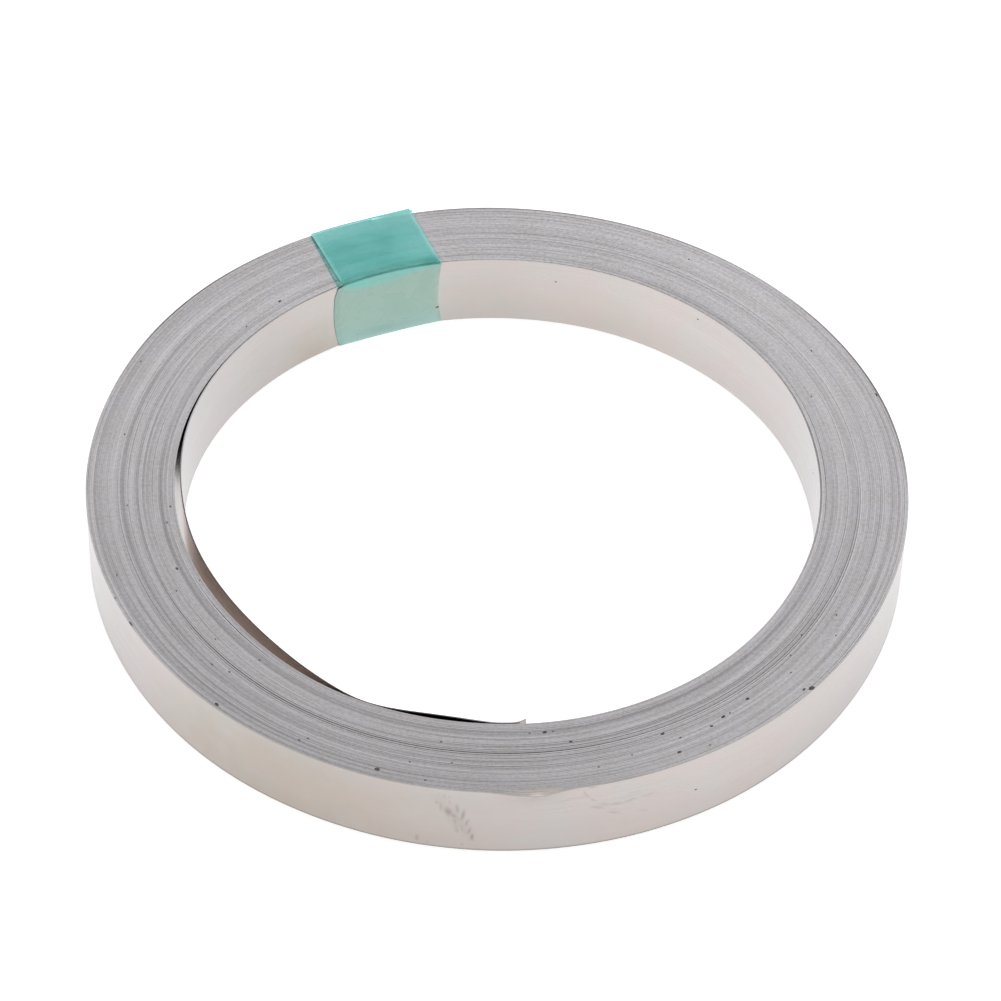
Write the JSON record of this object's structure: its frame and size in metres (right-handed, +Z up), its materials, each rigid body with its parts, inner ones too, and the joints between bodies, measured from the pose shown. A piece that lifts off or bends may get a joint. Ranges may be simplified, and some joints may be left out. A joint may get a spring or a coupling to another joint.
{
  "type": "coil of nickel strip",
  "caption": "Flat ring coil of bright nickel strip for joining battery cells, standing on its edges, held by a band of clear green film, with its inner end sprung free.",
  "frame": {"origin": "under the centre of the coil, on the surface that it lies on", "axes": "+Z up along the coil's axis; the band of film is at 112 degrees from +X towards +Y"},
  "size_m": [0.0802, 0.0802, 0.0081],
  "materials": {
    "nickel": "bright rolled nickel with a warm satin face and grey slit edges, faint rolling lines, small dark specks and light tarnish",
    "film": "thin clear green adhesive film, smooth and slightly glossy, darker where two layers lap"
  },
  "bodies": {
    "root": {"strip_coil": "nickel", "tape_band": "film"}
  },
  "joints": []
}
